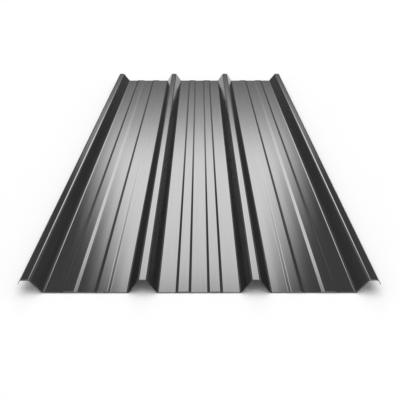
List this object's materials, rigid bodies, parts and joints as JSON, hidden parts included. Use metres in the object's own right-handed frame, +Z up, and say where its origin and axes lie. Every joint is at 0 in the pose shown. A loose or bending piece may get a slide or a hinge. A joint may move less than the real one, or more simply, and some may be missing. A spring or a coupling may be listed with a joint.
{
  "type": "corrugated metal sheet",
  "caption": "Flat-lying trapezoidal roofing sheet, roll-formed from one steel strip, with tall ribs, low stiffeners in the pans between them, and lipped edge ribs for side laps.",
  "frame": {"origin": "middle of the sheet, on the plane of the underside of its pans", "axes": "+X across the sheet from rib to rib, +Y along the ribs, +Z up out of the ribbed face"},
  "size_m": [1.0418, 2.2, 0.0465],
  "materials": {
    "zinc_coated_steel": "satin"
  },
  "bodies": {
    "root": {"profiled_sheet": "zinc_coated_steel"}
  },
  "joints": []
}
